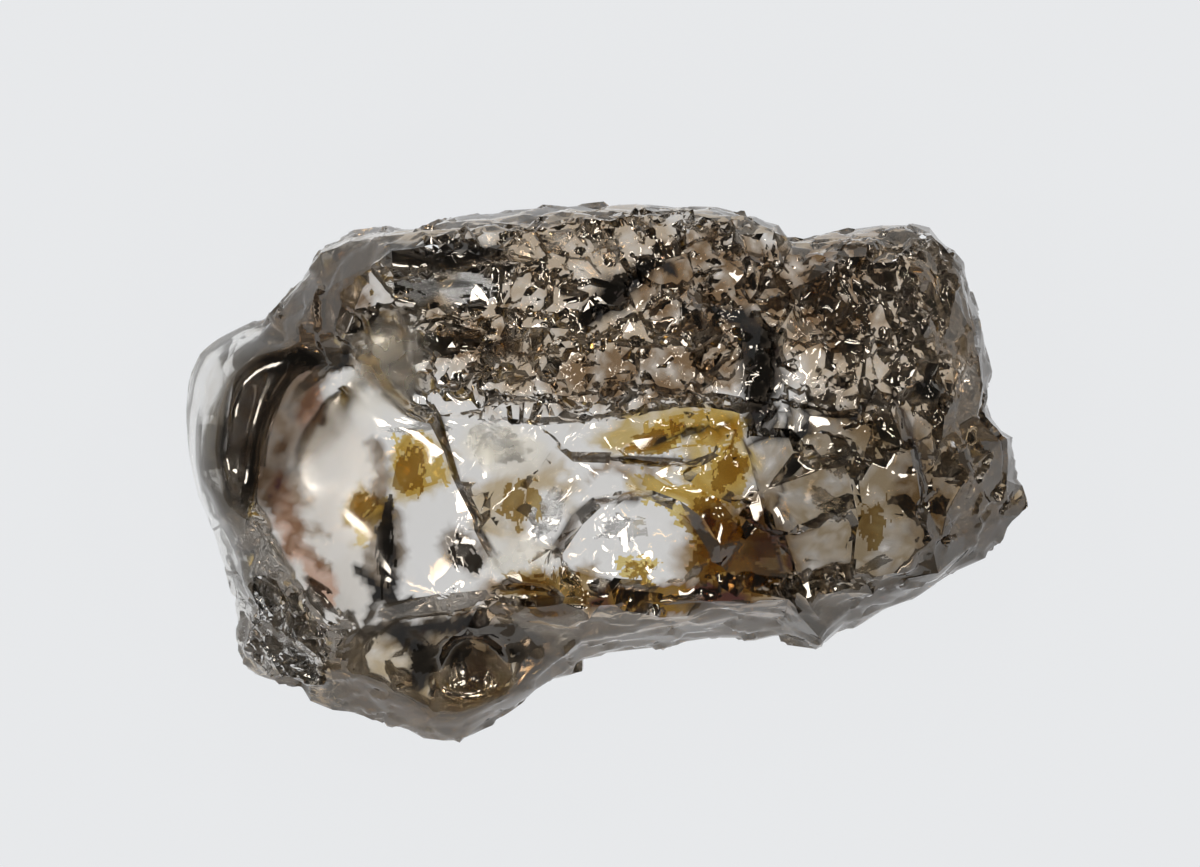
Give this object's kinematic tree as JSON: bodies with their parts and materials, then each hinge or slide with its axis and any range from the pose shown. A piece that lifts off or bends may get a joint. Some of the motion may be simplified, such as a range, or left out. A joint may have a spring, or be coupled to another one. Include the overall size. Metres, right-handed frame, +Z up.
{
  "type": "diamond crystal",
  "caption": "Rough flattened diamond crystal, smoky and see-through, with a hackly broken top, smooth windows, crack steps and a round etch pit. It lies on a flat cleavage face.",
  "frame": {"origin": "middle of the crystal's box, on the flat cleavage face that it rests on", "axes": "+Z up out of the resting face, +X along the crystal's longest extent, towards its squared end"},
  "size_m": [0.0084, 0.0054, 0.0042],
  "materials": {
    "smoky_diamond": "smoky brown, see-through diamond; the broken top is frosted, the windows are glossy"
  },
  "bodies": {
    "root": {"diamond_crystal": "smoky_diamond"}
  },
  "joints": []
}
